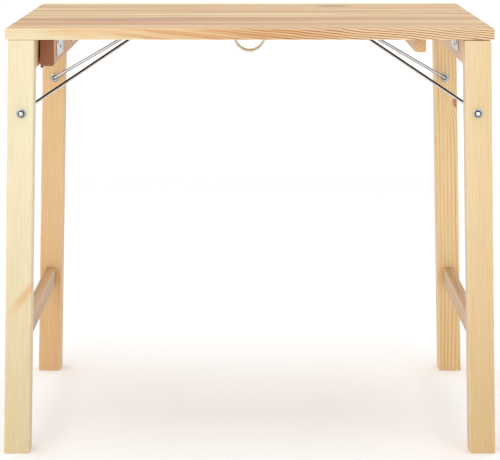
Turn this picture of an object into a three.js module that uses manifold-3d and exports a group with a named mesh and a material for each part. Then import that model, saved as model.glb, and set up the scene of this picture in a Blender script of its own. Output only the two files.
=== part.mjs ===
// Pine folding table: a solid top with two leg frames that fold flat beneath it. Each frame is
// held upright by a wire stay whose crossbar rests in the hook of a sprung lock bar under the top.
// Millimetres, +Z up. X is the table's width, -Y its front. Origin: centre of the footprint, on the floor.
// "side" is -1 for the left leg frame and +1 for the right one.
import * as THREE from 'three';
import { mergeVertices } from 'three/addons/utils/BufferGeometryUtils.js';
import Module from 'manifold-3d';

const wasm = await Module();
wasm.setup();

// ---- driving dimensions ----
const WIDTH = 800;
const DEPTH = 600;
const HEIGHT = 720;
const TOP_THICK = 18;
const UNDER = HEIGHT - TOP_THICK;           // underside of the top

const LEG = 43;                             // square leg section
const LEG_INSET_X = 5;                      // leg's outer face inside the top's end, at the top
const LEG_INSET_Y = 1;
const SPLAY = THREE.MathUtils.degToRad(1.8);
const LEG_GAP = { left: 0.3, right: 1.2 };  // gap between leg top and underside
const LEG_INNER = WIDTH / 2 - LEG_INSET_X - LEG;
const LEG_Y_OUT = DEPTH / 2 - LEG_INSET_Y;
const LEG_Y_IN = LEG_Y_OUT - LEG;

const RAIL_THICK = 22;
const RAIL_DEEP = { left: 49, right: 42 };
const RAIL_DROP = 1.5;                      // rail's top edge below the underside
const STRETCHER_THICK = 20;
const STRETCHER_DEEP = 34;
const STRETCHER_LOW = 174;                  // stretcher's lower edge above the floor
const TENON = { thick: 10, long: 24, shoulder: 6, play: 0.3 };

const SPACER = { outer: 349.5, inner: 326, deep: 50, half: 234, round: 3 };
const CLEAT = { outer: 295, inner: 276.5, deep: 27, half: 228 };

const LEAF_THICK = 1.5;
const LEAF_LONG = 104;
const LEAF_REACH = { top: 22, rail: 25, spacer: 21.5 };   // from the hinge axis to the leaf's far edge
const ANGLE_PLATE = { deep: 38, wide: 24 }; // angle plates that tie the spacer to the top
const HINGE_Y = 142;                        // hinge centre from mid-depth
const KNUCKLE_R = 3;
const PIN_R = 1.5;
const PIN_PROUD = 0.8;
const BORE_R = 1.7;
const KNUCKLE_GAP = 0.4;
const AXIS = {
  left: { x: -351, z: UNDER - 54 },
  right: { x: 348.6, z: UNDER - 3.5 },
};

const STAY_R = 2.75;
const STAY_U = 19.5;                        // stay pivot from the leg's inner face
const STAY_V = 122;                         // and below the underside
const STAY_HOLE_R = 3.4;
const STAY_TURN = 7.5;                      // radius of the wire's bends
const STAY_BEND = 4.5;                      // corner of the wire's route, from the leg's inner face
const AXLE_PROUD = 3.5;                     // axle end beyond the leg's outer face
const APEX = { x: 206.8, drop: 16, half: 97.7 };
const WASHER = { r: 8, thick: 1.2, off: 0.05 };
const CAP = { r: 5.8, straight: 2.6, high: 5.5, off: 0.4, grip: 0.15 };

const BAR = { thick: 3, half: 10, gap: 1.5 };
const HOOK = { play: 0.75, wall: 3, lip: 2.5, mouth: 6.5 };
const CATCH = { plate: 1.2, long: 15.5, half: 27, tab: 3, slit: 11.5, screwX: 12, screwY: 19 };
const GUIDE = { x: 110, r: 3.5, headR: 5, headThick: 2, stroke: 14, hole: 4.3 };
const SPRING = { r: 4.6, wireR: 0.5, turns: 4, end: 0.8 };
const STRAP = { wide: 30, thick: 2, half: 30, tab: 47, low: 46, bulge: 2, hole: 2.3 };
const RIVET = { half: 5.5, long: 13, plate: 1.2, headR: 4, headLow: 2.2, r: 2 };

const SCREW = { r: 1.5, headR: 3.4, headOut: 0.35, headIn: 0.6, bore: 1.9, spare: 1 };
const LEAF_SCREW = { pitch: 38, near: 0.32, far: 0.68, edge: 1.5 };
const LEAF_SCREW_LONG = { top: 13, rail: 14, spacer: 15 };
const TOP_BITE = 12;                        // how far a screw or bolt goes up into the top
const BATTEN_SCREW = { y: 208, r: 2, headR: 4, headThick: 3, bore: 2.3, sink: 4.5 };
const BATTEN_SINK = { spacer: 14, cleat: 5 };

const FIT = 0.3;                            // clearance between touching pieces

// ---- finishes ----
const finish = (color, roughness, metalness) => () =>
  new THREE.MeshStandardMaterial({ color, roughness, metalness });
const pine = finish(0xe8c896, 0.6, 0);
const pineTop = finish(0xe0bd9a, 0.55, 0);
const pineBrown = finish(0x96603c, 0.7, 0);
const zinc = finish(0xd6d8d8, 0.35, 0.9);
const chrome = finish(0xc9ccce, 0.15, 1);
const darkSteel = finish(0x4a4a4c, 0.5, 0.8);
const webbing = finish(0xccc8b4, 0.9, 0);

// ---- geometry helpers ----
function solid(geometry) {
  geometry.deleteAttribute('normal');
  geometry.deleteAttribute('uv');
  const merged = mergeVertices(geometry, 1e-4);
  return new wasm.Manifold(new wasm.Mesh({
    numProp: 3,
    vertProperties: new Float32Array(merged.attributes.position.array),
    triVerts: new Uint32Array(merged.index.array),
  }));
}

function surface(body) {
  const mesh = body.getMesh();
  const geometry = new THREE.BufferGeometry();
  geometry.setAttribute('position', new THREE.BufferAttribute(new Float32Array(mesh.vertProperties), 3));
  geometry.setIndex([...mesh.triVerts]);
  geometry.computeVertexNormals();
  return geometry;
}

const box = (x0, x1, y0, y1, z0, z1) => solid(
  new THREE.BoxGeometry(Math.abs(x1 - x0), Math.abs(y1 - y0), Math.abs(z1 - z0))
    .translate((x0 + x1) / 2, (y0 + y1) / 2, (z0 + z1) / 2));

// outline of [x, z] corners, extruded along Y
function prismY(outline, y0, y1) {
  const shape = new THREE.Shape(outline.map(([x, z]) => new THREE.Vector2(x, z)));
  const geometry = new THREE.ExtrudeGeometry(shape, { depth: y1 - y0, bevelEnabled: false });
  return solid(geometry.rotateX(Math.PI / 2).translate(0, y1, 0));
}

const rodY = (x, z, r, y0, y1, sides = 12) => solid(
  new THREE.CylinderGeometry(r, r, y1 - y0, sides).translate(x, (y0 + y1) / 2, z));

const rodZ = (x, y, r, z0, z1, sides = 12) => solid(
  new THREE.CylinderGeometry(r, r, z1 - z0, sides).rotateX(Math.PI / 2).translate(x, y, (z0 + z1) / 2));

// round bar between two points
function rodBetween(from, to, r, sides = 10) {
  const a = new THREE.Vector3(...from);
  const along = new THREE.Vector3(...to).sub(a);
  const geometry = new THREE.CylinderGeometry(r, r, along.length(), sides);
  geometry.applyQuaternion(new THREE.Quaternion().setFromUnitVectors(
    new THREE.Vector3(0, 1, 0), along.clone().normalize()));
  return solid(geometry.translate(...a.addScaledVector(along, 0.5)));
}

function wireAlong(points, r, sides, steps) {
  const curve = new THREE.CatmullRomCurve3(points.map((p) => new THREE.Vector3(...p)), false, 'centripetal');
  const section = new THREE.Shape(new THREE.EllipseCurve(0, 0, r, r).getPoints(sides).slice(0, sides));
  return solid(new THREE.ExtrudeGeometry(section, { steps, extrudePath: curve, curveSegments: sides }));
}

// path whose corners are replaced by arcs of the given radius
function roundedPath(corners, radius, steps) {
  const points = corners.map((corner) => new THREE.Vector3(...corner));
  const path = [points[0]];
  for (let i = 1; i < points.length - 1; i += 1) {
    const back = points[i - 1].clone().sub(points[i]).normalize();
    const ahead = points[i + 1].clone().sub(points[i]).normalize();
    const half = back.angleTo(ahead) / 2;
    const middle = back.clone().add(ahead).normalize();
    const centre = points[i].clone().addScaledVector(middle, radius / Math.sin(half));
    const first = points[i].clone().addScaledVector(back, radius / Math.tan(half)).sub(centre);
    const last = points[i].clone().addScaledVector(ahead, radius / Math.tan(half)).sub(centre);
    const sweep = first.angleTo(last);
    for (let k = 0; k <= steps; k += 1) {
      const angle = (k / steps) * sweep;
      path.push(centre.clone()
        .addScaledVector(first, Math.sin(sweep - angle) / Math.sin(sweep))
        .addScaledVector(last, Math.sin(angle) / Math.sin(sweep)));
    }
  }
  return [...path, points[points.length - 1]];
}

// round wire through the points of a path, mitred at each
function wireThrough(path, r, sides) {
  const steps = path.slice(1).map((point, i) => point.clone().sub(path[i]).normalize());
  const across = new THREE.Vector3(0, 0, 1).cross(steps[0]).normalize();
  const up = steps[0].clone().cross(across);
  let ring = Array.from({ length: sides }, (_, i) => {
    const angle = (i / sides) * 2 * Math.PI;
    return path[0].clone()
      .addScaledVector(across, r * Math.cos(angle))
      .addScaledVector(up, r * Math.sin(angle));
  });
  const vertices = ring.flatMap((point) => point.toArray());
  for (let k = 1; k < path.length; k += 1) {
    const step = steps[k - 1];
    const mitre = step.clone().add(steps[k] || step);
    ring = ring.map((point) => point.clone().addScaledVector(
      step, path[k].clone().sub(point).dot(mitre) / step.dot(mitre)));
    vertices.push(...ring.flatMap((point) => point.toArray()));
  }
  const triangles = [];
  for (let k = 0; k < path.length - 1; k += 1) {
    for (let i = 0; i < sides; i += 1) {
      const a = k * sides + i;
      const b = k * sides + ((i + 1) % sides);
      triangles.push(a, b, b + sides, a, b + sides, a + sides);
    }
  }
  const end = (path.length - 1) * sides;
  for (let i = 1; i < sides - 1; i += 1) triangles.push(0, i + 1, i, end, end + i, end + i + 1);
  return new wasm.Manifold(new wasm.Mesh({
    numProp: 3,
    vertProperties: new Float32Array(vertices),
    triVerts: new Uint32Array(triangles),
  }));
}

const table = new THREE.Group();
function add(name, body, material) {
  const mesh = new THREE.Mesh(surface(body), material());
  mesh.name = name;
  table.add(mesh);
}

const joinAll = (bodies) => bodies.reduce((all, body) => all.add(body));
const cutAll = (body, holes) => holes.reduce((left, hole) => left.subtract(hole), body);

// ---- leg frame coordinates: u outward from the legs' inner face, v down the leg ----
const sideName = (side) => (side < 0 ? 'left' : 'right');
const signName = { '-1': 'front', '1': 'rear' };
function framePoint(side, u, v) {
  const x = LEG_INNER + u * Math.cos(SPLAY) + v * Math.sin(SPLAY);
  return [side * x, UNDER + u * Math.sin(SPLAY) - v * Math.cos(SPLAY)];
}
function frameBox(side, u0, u1, v0, v1, y0, y1) {
  const corners = [[u0, v0], [u1, v0], [u1, v1], [u0, v1]].map(([u, v]) => framePoint(side, u, v));
  return prismY(side > 0 ? corners.reverse() : corners, y0, y1);
}

// how far down the leg (v) a height z lies, for a given u
const atHeight = (u, z) => (UNDER - z + u * Math.sin(SPLAY)) / Math.cos(SPLAY);

// point on a line that goes outward (u) through a leg frame
function onFrame(side, u, v, y) {
  const [x, z] = framePoint(side, u, v);
  return [x, y, z];
}

// wood screw from the point where its head sits, and the hole it needs; way is the unit step it points in
function screwAlong(from, way, long) {
  const at = (d) => from.map((value, i) => value + way[i] * d);
  return rodBetween(at(-SCREW.headOut), at(SCREW.headIn), SCREW.headR, 12)
    .add(rodBetween(from, at(long), SCREW.r, 8));
}
function screwHole(from, way, long) {
  const at = (d) => from.map((value, i) => value + way[i] * d);
  return rodBetween(at(-2 * SCREW.headR), at(long + SCREW.spare), SCREW.bore, 8);
}
const outward = (side) => [side * Math.cos(SPLAY), 0, Math.sin(SPLAY)];
const UP = [0, 0, 1];

// three staggered screws of a hinge leaf: position along the hinge and across the leaf
const leafScrews = (yMid, across) => [
  [-LEAF_SCREW.pitch, LEAF_SCREW.near],
  [0, LEAF_SCREW.far],
  [LEAF_SCREW.pitch, LEAF_SCREW.near],
].map(([dy, share]) => ({ y: yMid + dy, at: across * share }));

// holes that the fittings need in the wood
const topHoles = [];
const spacerHoles = [];
const railHoles = { left: [], right: [] };

// ---- hinges ----
function knuckles(side, yMid, moving) {
  const { x, z } = AXIS[sideName(side)];
  const third = LEAF_LONG / 3;
  const spans = moving
    ? [[yMid - third / 2 + KNUCKLE_GAP, yMid + third / 2 - KNUCKLE_GAP]]
    : [[yMid - LEAF_LONG / 2, yMid - third / 2], [yMid + third / 2, yMid + LEAF_LONG / 2]];
  return spans.map(([y0, y1]) => ({ y0, y1, ring: rodY(x, z, KNUCKLE_R, y0, y1, 16) }));
}
const hingeBore = (side, yMid) => {
  const { x, z } = AXIS[sideName(side)];
  return rodY(x, z, BORE_R, yMid - LEAF_LONG, yMid + LEAF_LONG, 12);
};

// right: a leaf on the underside of the top. left: a leaf on the bottom of the spacer
function fixedLeafRight(yMid) {
  const { x } = AXIS.right;
  const y0 = yMid - LEAF_LONG / 2;
  const y1 = yMid + LEAF_LONG / 2;
  const plateOut = x - KNUCKLE_R - KNUCKLE_GAP;
  const plateIn = x - LEAF_REACH.top;
  let leaf = box(plateIn, plateOut, y0, y1, UNDER - LEAF_THICK, UNDER);
  for (const k of knuckles(1, yMid, false)) {
    leaf = leaf.add(box(plateOut - 1, x, k.y0, k.y1, UNDER - LEAF_THICK, UNDER)).add(k.ring);
  }
  leaf = leaf.subtract(hingeBore(1, yMid));
  for (const s of leafScrews(yMid, LEAF_REACH.top - 5)) {
    const from = [plateIn + LEAF_SCREW.edge + s.at, s.y, UNDER - LEAF_THICK];
    topHoles.push(screwHole(from, UP, LEAF_SCREW_LONG.top));
    leaf = leaf.add(screwAlong(from, UP, LEAF_SCREW_LONG.top));
  }
  return leaf;
}

function fixedLeafLeft(yMid) {
  const { x } = AXIS.left;
  const top = UNDER - SPACER.deep - FIT;
  const low = top - LEAF_THICK;
  const plateOut = x + KNUCKLE_R + KNUCKLE_GAP;
  let leaf = box(plateOut, x + LEAF_REACH.spacer, yMid - LEAF_LONG / 2, yMid + LEAF_LONG / 2, low, top);
  for (const k of knuckles(-1, yMid, false)) {
    leaf = leaf.add(box(x, plateOut + 1, k.y0, k.y1, low, top)).add(k.ring);
  }
  leaf = leaf.subtract(hingeBore(-1, yMid));
  for (const s of leafScrews(yMid, LEAF_REACH.spacer - 5)) {
    const from = [plateOut + LEAF_SCREW.edge + s.at, s.y, low];
    spacerHoles.push(screwHole(from, UP, LEAF_SCREW_LONG.spacer));
    leaf = leaf.add(screwAlong(from, UP, LEAF_SCREW_LONG.spacer));
  }
  return leaf;
}

// one leg on the spacer's inner face, the other on the underside of the top
function anglePlate(yMid) {
  const face = -SPACER.inner + FIT;
  const y0 = yMid - LEAF_LONG / 2;
  const y1 = yMid + LEAF_LONG / 2;
  let plate = box(face, face + LEAF_THICK, y0, y1, UNDER - ANGLE_PLATE.deep, UNDER)
    .add(box(face, face + ANGLE_PLATE.wide, y0, y1, UNDER - LEAF_THICK, UNDER));
  for (const s of leafScrews(yMid, ANGLE_PLATE.deep - 2 * SCREW.headR)) {
    const from = [face + LEAF_THICK, s.y, UNDER - SCREW.headR - s.at];
    spacerHoles.push(screwHole(from, [-1, 0, 0], LEAF_SCREW_LONG.spacer));
    plate = plate.add(screwAlong(from, [-1, 0, 0], LEAF_SCREW_LONG.spacer));
  }
  for (const dy of [-LEAF_SCREW.pitch, LEAF_SCREW.pitch]) {
    const from = [face + ANGLE_PLATE.wide * LEAF_SCREW.far, yMid + dy, UNDER - LEAF_THICK];
    topHoles.push(screwHole(from, UP, LEAF_SCREW_LONG.top));
    plate = plate.add(screwAlong(from, UP, LEAF_SCREW_LONG.top));
  }
  return plate;
}

// moving leaf: lies on the rail's inner face, below the axis on the right and above it on the left
function movingLeaf(side, yMid) {
  const key = sideName(side);
  const y0 = yMid - LEAF_LONG / 2;
  const y1 = yMid + LEAF_LONG / 2;
  const { x, z } = AXIS[key];
  const axisV = (UNDER - z) * Math.cos(SPLAY) + (side * x - LEG_INNER) * Math.sin(SPLAY);
  const down = side > 0 ? 1 : -1;
  const near = axisV + down * (KNUCKLE_R + KNUCKLE_GAP);
  const tongue = axisV + down * (side > 0 ? 0 : BORE_R + 0.3);
  const far = axisV + down * LEAF_REACH.rail;
  const u1 = -FIT;
  const u0 = u1 - LEAF_THICK;
  const span = (a, b) => [Math.min(a, b), Math.max(a, b)];
  let leaf = frameBox(side, u0, u1, ...span(near, far), y0, y1);
  for (const k of knuckles(side, yMid, true)) {
    leaf = leaf.add(frameBox(side, u0, u1, ...span(tongue, near + down), k.y0, k.y1)).add(k.ring);
  }
  leaf = leaf.subtract(hingeBore(side, yMid));
  for (const s of leafScrews(yMid, LEAF_REACH.rail - 7)) {
    const from = onFrame(side, u0, near + down * (LEAF_SCREW.edge + s.at), s.y);
    leaf = leaf.add(screwAlong(from, outward(side), LEAF_SCREW_LONG.rail));
    railHoles[key].push(screwHole(from, outward(side), LEAF_SCREW_LONG.rail));
  }
  return leaf;
}

for (const side of [-1, 1]) {
  const key = sideName(side);
  for (const end of [-1, 1]) {
    const yMid = end * HINGE_Y;
    const label = `${key}_${signName[end]}_hinge`;
    add(`${label}_fixed_leaf`, side > 0 ? fixedLeafRight(yMid) : fixedLeafLeft(yMid), zinc);
    add(`${label}_moving_leaf`, movingLeaf(side, yMid), zinc);
    if (side < 0) add(`left_${signName[end]}_angle_plate`, anglePlate(yMid), zinc);
    const { x, z } = AXIS[key];
    const pinHalf = LEAF_LONG / 2 + PIN_PROUD;
    add(`${label}_pin`, rodY(x, z, PIN_R, yMid - pinHalf, yMid + pinHalf), darkSteel);
  }
}

// ---- catch brackets and the sprung lock bar that holds both stays ----
const crossbarZ = UNDER - APEX.drop;
for (const side of [-1, 1]) {
  const stop = APEX.x - STAY_R - HOOK.play;
  const plate = box(side * (stop - CATCH.tab - CATCH.long), side * stop, -CATCH.half, CATCH.half,
    UNDER - CATCH.plate, UNDER);
  const tabs = [-1, 1].map((e) => box(side * (stop - CATCH.tab), side * stop, e * CATCH.slit, e * CATCH.half,
    crossbarZ - STAY_R, UNDER));
  let bracket = joinAll([plate, ...tabs]);
  for (const e of [-1, 1]) {
    const from = [side * (stop - CATCH.screwX), e * CATCH.screwY, UNDER - CATCH.plate - SCREW.headIn];
    const long = TOP_BITE + UNDER - from[2];
    bracket = bracket.add(screwAlong(from, UP, long));
    topHoles.push(screwHole(from, UP, long));
  }
  add(`${sideName(side)}_catch_bracket`, bracket, zinc);
}

const barTop = UNDER - BAR.gap;
const barLow = barTop - BAR.thick;
const rivetX = (STRAP.half + STRAP.tab) / 2;
const hookIn = APEX.x + STAY_R + HOOK.play;
const hookOut = hookIn + HOOK.wall;
const lipTop = crossbarZ - STAY_R - HOOK.play;
const lipLow = lipTop - HOOK.lip;
let lockBar = box(-hookOut, hookOut, -BAR.half, BAR.half, barLow, barTop);
for (const side of [-1, 1]) {
  lockBar = lockBar
    .add(box(side * hookIn, side * hookOut, -BAR.half, BAR.half, lipLow, barTop))
    .add(box(side * (hookIn - HOOK.mouth), side * hookOut, -BAR.half, BAR.half, lipLow, lipTop))
    .subtract(rodZ(side * GUIDE.x, 0, GUIDE.hole, barLow - BAR.thick, barTop + BAR.thick, 16))
    .subtract(rodZ(side * rivetX, 0, STRAP.hole, barLow - BAR.thick, barTop + BAR.thick));
}
add('lock_bar', lockBar, zinc);

// shoulder screws guide the bar; their springs push it up
const screwHead = barLow - GUIDE.stroke;
for (const side of [-1, 1]) {
  const x = side * GUIDE.x;
  const head = rodZ(x, 0, GUIDE.headR, screwHead - GUIDE.headThick, screwHead);
  const shoulder = rodZ(x, 0, GUIDE.r, screwHead - GUIDE.headThick / 2, UNDER, 16);
  const thread = rodZ(x, 0, BATTEN_SCREW.r, UNDER - 1, UNDER + TOP_BITE, 8);
  add(`${sideName(side)}_shoulder_screw`, joinAll([head, shoulder, thread]), zinc);
  topHoles.push(rodZ(x, 0, BATTEN_SCREW.bore, UNDER - 1, UNDER + TOP_BITE + SCREW.spare, 8));

  const perTurn = 10;
  const points = SPRING.turns * perTurn;
  const low = screwHead + SPRING.end;
  const rise = barLow - screwHead - 2 * SPRING.end;
  const coil = Array.from({ length: points + 1 }, (_, i) => {
    const angle = (i / perTurn) * 2 * Math.PI;
    return [x + SPRING.r * Math.cos(angle), SPRING.r * Math.sin(angle), low + (i / points) * rise];
  });
  add(`${sideName(side)}_lock_spring`, wireAlong(coil, SPRING.wireR, 6, SPRING.turns * 12), darkSteel);
}

// pull strap: a loop of webbing whose two ends are riveted under the lock bar
function sagging(half, high, low) {
  const pull = (low - high / 4) / 0.75;     // control height that brings the middle down to low
  return new THREE.CubicBezierCurve(
    new THREE.Vector2(-half, high), new THREE.Vector2(-half - STRAP.bulge, pull),
    new THREE.Vector2(half + STRAP.bulge, pull), new THREE.Vector2(half, high))
    .getPoints(20).map((p) => [p.x, p.y]);
}
const tabTop = barLow - FIT;
const tabLow = tabTop - STRAP.thick;
const strapLow = UNDER - STRAP.low;
const strapOutline = [
  [-STRAP.tab, tabTop], [-STRAP.tab, tabLow], ...sagging(STRAP.half, tabLow, strapLow),
  [STRAP.tab, tabLow], [STRAP.tab, tabTop],
  ...sagging(STRAP.half - STRAP.thick, tabTop, strapLow + STRAP.thick).reverse(),
];
const strapHoles = [-1, 1].map((s) => rodZ(s * rivetX, 0, STRAP.hole, tabLow - STRAP.thick, barLow));
add('pull_strap', cutAll(prismY(strapOutline, -STRAP.wide / 2, STRAP.wide / 2), strapHoles), webbing);
for (const side of [-1, 1]) {
  const x = side * rivetX;
  const plateTop = tabLow - FIT;
  const plateLow = plateTop - RIVET.plate;
  const plate = box(x - RIVET.half, x + RIVET.half, -RIVET.long, RIVET.long, plateLow, plateTop);
  const head = rodZ(x, 0, RIVET.headR, plateTop - RIVET.headLow, plateLow + RIVET.plate / 2);
  const shank = rodZ(x, 0, RIVET.r, plateLow, barTop);
  add(`${sideName(side)}_strap_rivet_plate`, joinAll([plate, head, shank]), zinc);
}

// ---- leg frames ----
const stretcherV = atHeight(0, STRETCHER_LOW + STRETCHER_DEEP);
function railWithTenons(side, u0, u1, v0, v1) {
  const mid = (u0 + u1) / 2;
  const tenon = frameBox(side, mid - TENON.thick / 2, mid + TENON.thick / 2, v0 + TENON.shoulder,
    v1 - TENON.shoulder, -LEG_Y_IN - TENON.long, LEG_Y_IN + TENON.long);
  return frameBox(side, u0, u1, v0, v1, -LEG_Y_IN, LEG_Y_IN).add(tenon);
}
function mortise(side, end, u0, u1, v0, v1) {
  const mid = (u0 + u1) / 2;
  const half = TENON.thick / 2 + TENON.play;
  const ys = [end * (LEG_Y_IN - 2), end * (LEG_Y_IN + TENON.long + 1)].sort((a, b) => a - b);
  const shoulder = TENON.shoulder - TENON.play;
  return frameBox(side, mid - half, mid + half, v0 + shoulder, v1 - shoulder, ...ys);
}

// quarter ellipse on a short straight wall
const capProfile = [new THREE.Vector2(0, 0), new THREE.Vector2(CAP.r, 0)];
for (const angle of [0, 0.125, 0.25, 0.375].map((share) => share * Math.PI)) {
  const high = CAP.straight + (CAP.high - CAP.straight) * Math.sin(angle);
  capProfile.push(new THREE.Vector2(CAP.r * Math.cos(angle), high));
}
capProfile.push(new THREE.Vector2(0, CAP.high));

for (const side of [-1, 1]) {
  const key = sideName(side);
  const rail = [0, RAIL_THICK, RAIL_DROP, RAIL_DROP + RAIL_DEEP[key]];
  const bare = (LEG - STRETCHER_THICK) / 2;
  const low = [bare, LEG - bare, stretcherV, stretcherV + STRETCHER_DEEP];
  const [pivotX, pivotZ] = framePoint(side, STAY_U, STAY_V);
  const legTop = UNDER - LEG_GAP[key];
  const outline = [[0, legTop], [LEG, legTop], [LEG, 0], [0, 0]]
    .map(([u, z]) => [framePoint(side, u, atHeight(u, z))[0], z]);

  for (const end of [-1, 1]) {
    const ys = [end * LEG_Y_IN, end * LEG_Y_OUT].sort((a, b) => a - b);
    const leg = cutAll(prismY(side > 0 ? outline.slice().reverse() : outline, ...ys), [
      mortise(side, end, ...rail),
      mortise(side, end, ...low),
      rodY(pivotX, pivotZ, STAY_HOLE_R, ys[0] - 1, ys[1] + 1, 16),
    ]);
    const label = `${key}_${signName[end]}`;
    add(`${label}_leg`, leg, pine);
    for (const [where, face, out] of [['outer', end * LEG_Y_OUT, end], ['inner', end * LEG_Y_IN, -end]]) {
      const near = face + out * WASHER.off;
      const span = [near, near + out * WASHER.thick].sort((a, b) => a - b);
      const hole = rodY(pivotX, pivotZ, STAY_HOLE_R, span[0] - 1, span[1] + 1, 16);
      add(`${label}_${where}_washer`, rodY(pivotX, pivotZ, WASHER.r, ...span, 24).subtract(hole), zinc);
    }
  }
  add(`${key}_upper_rail`, cutAll(railWithTenons(side, ...rail), railHoles[key]), pine);
  add(`${key}_lower_stretcher`, railWithTenons(side, ...low), pine);

  // wire stay: axle ends through both legs, two arms that converge, and a crossbar
  const ax = side * APEX.x;
  const axleEnd = LEG_Y_OUT + AXLE_PROUD;
  const bendY = LEG_Y_IN - STAY_BEND;
  const half = [[pivotX, axleEnd, pivotZ], [pivotX, bendY, pivotZ], [ax, APEX.half, crossbarZ]];
  const route = [...half.map(([x, y, z]) => [x, -y, z]), ...half.reverse()];
  add(`${key}_stay_wire`, wireThrough(roundedPath(route, STAY_TURN, 4), STAY_R, 10), chrome);
  for (const end of [-1, 1]) {
    const capFrom = end * (LEG_Y_OUT + WASHER.thick + CAP.off);
    const dome = new THREE.LatheGeometry(capProfile, 20);
    if (end < 0) dome.rotateX(Math.PI);
    dome.translate(pivotX, capFrom, pivotZ);
    const socket = [capFrom - end, end * (axleEnd + FIT)].sort((a, b) => a - b);
    const cap = solid(dome).subtract(rodY(pivotX, pivotZ, STAY_R + CAP.grip, ...socket, 12));
    add(`${key}_stay_${signName[end]}_cap`, cap, chrome);
  }
}

// ---- the wooden top pieces, bored for their screws ----
const spacerBottom = UNDER - SPACER.deep;
const spacerArc = [0, 1, 2, 3, 4].map((i) => {
  const a = (i / 4) * Math.PI / 2;
  return [-SPACER.inner - SPACER.round * (1 - Math.sin(a)), spacerBottom + SPACER.round * (1 - Math.cos(a))];
});
const spacerOutline = [
  [-SPACER.outer, UNDER], [-SPACER.outer, spacerBottom], ...spacerArc, [-SPACER.inner, UNDER],
];
const battens = {
  spacer: cutAll(prismY(spacerOutline, -SPACER.half, SPACER.half), spacerHoles),
  cleat: box(CLEAT.inner, CLEAT.outer, -CLEAT.half, CLEAT.half, UNDER - CLEAT.deep, UNDER),
};

// long screws that hold the two battens up against the top, heads sunk in their lower edges
for (const [name, x, deep] of [
  ['spacer', -(SPACER.outer + SPACER.inner) / 2, SPACER.deep],
  ['cleat', (CLEAT.outer + CLEAT.inner) / 2, CLEAT.deep],
]) {
  const low = UNDER - deep;
  const headZ = low + BATTEN_SINK[name];
  [-1, 0, 1].forEach((place, i) => {
    const y = place * BATTEN_SCREW.y;
    const bore = rodZ(x, y, BATTEN_SCREW.bore, low, UNDER + 1, 8);
    battens[name] = battens[name].subtract(rodZ(x, y, BATTEN_SCREW.sink, low - 1, headZ).add(bore));
    topHoles.push(rodZ(x, y, BATTEN_SCREW.bore, UNDER - 1, UNDER + TOP_BITE + SCREW.spare, 8));
    const head = rodZ(x, y, BATTEN_SCREW.headR, headZ - FIT - BATTEN_SCREW.headThick, headZ - FIT);
    const shank = rodZ(x, y, BATTEN_SCREW.r, headZ - BATTEN_SCREW.headThick / 2, UNDER + TOP_BITE, 8);
    add(`${name}_screw_${i + 1}`, head.add(shank), zinc);
  });
}
add('spacer_batten', battens.spacer, pineBrown);
add('cleat_batten', battens.cleat, pine);
add('tabletop', cutAll(box(-WIDTH / 2, WIDTH / 2, -DEPTH / 2, DEPTH / 2, UNDER, HEIGHT), topHoles), pineTop);

export default table;
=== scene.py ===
"""Looks of the pine folding table: wood, wire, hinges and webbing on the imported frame.

Metres, +Z up, -Y the front.
"""
import math

import bmesh
import bpy
from mathutils import Matrix, Vector


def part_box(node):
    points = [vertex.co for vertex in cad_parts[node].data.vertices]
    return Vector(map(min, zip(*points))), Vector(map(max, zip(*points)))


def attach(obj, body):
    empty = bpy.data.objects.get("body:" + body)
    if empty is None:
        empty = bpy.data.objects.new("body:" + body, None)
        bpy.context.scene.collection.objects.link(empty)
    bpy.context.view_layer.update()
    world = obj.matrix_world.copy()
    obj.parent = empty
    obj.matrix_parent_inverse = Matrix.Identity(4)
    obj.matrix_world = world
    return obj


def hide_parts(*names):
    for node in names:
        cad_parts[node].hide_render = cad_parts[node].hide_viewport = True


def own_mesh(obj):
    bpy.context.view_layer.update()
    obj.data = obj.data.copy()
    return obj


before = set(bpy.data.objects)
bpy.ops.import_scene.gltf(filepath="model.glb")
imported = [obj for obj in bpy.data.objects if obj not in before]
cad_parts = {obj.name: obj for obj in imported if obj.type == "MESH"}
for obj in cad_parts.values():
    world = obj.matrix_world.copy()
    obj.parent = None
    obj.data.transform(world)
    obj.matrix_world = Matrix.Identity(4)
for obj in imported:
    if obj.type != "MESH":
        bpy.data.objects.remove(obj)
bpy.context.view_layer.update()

# ---- dimensions of the table, as its frame has them ----
MM = 0.001
SIDES = {"left": -1, "right": 1}
ENDS = {"front": -1, "rear": 1}
TOP_LO, TOP_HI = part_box("tabletop")
UNDER = TOP_LO.z
STAVE = 66.667 * MM
CUT_PAST = 2 * MM

# leg frames; a rail is (u0, u1, v0, v1) in its frame's coordinates
LEG = 43 * MM
LEG_INNER = 352 * MM
LEG_Y_OUT = 299 * MM
LEG_Y_IN = LEG_Y_OUT - LEG
SPLAY = math.radians(1.8)
LEG_GAP = {"left": 0.3 * MM, "right": 1.2 * MM}
RAIL = {"left": (0, 22 * MM, 1.5 * MM, 50.5 * MM), "right": (0, 22 * MM, 1.5 * MM, 43.5 * MM)}
STRETCHER_LOW = 174 * MM
STRETCHER_DEEP = 34 * MM
STRETCHER_THICK = 20 * MM
TENON_LONG = 24 * MM
TENON_THICK = 10 * MM
TENON_INSET = 6 * MM
TENON_PLAY = 0.3 * MM

# radii that the edges of the wood are rounded to
LEG_ROUND = 2.2 * MM
RAIL_ROUND = 1.2 * MM
STRETCHER_ROUND = 2 * MM
TOP_ROUND = 1.3 * MM
BATTEN_END_ROUND = 0.8 * MM

# screws sunk into the battens
SUNK_R = 4.5 * MM
SHANK_BORE_R = 2.3 * MM

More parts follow.
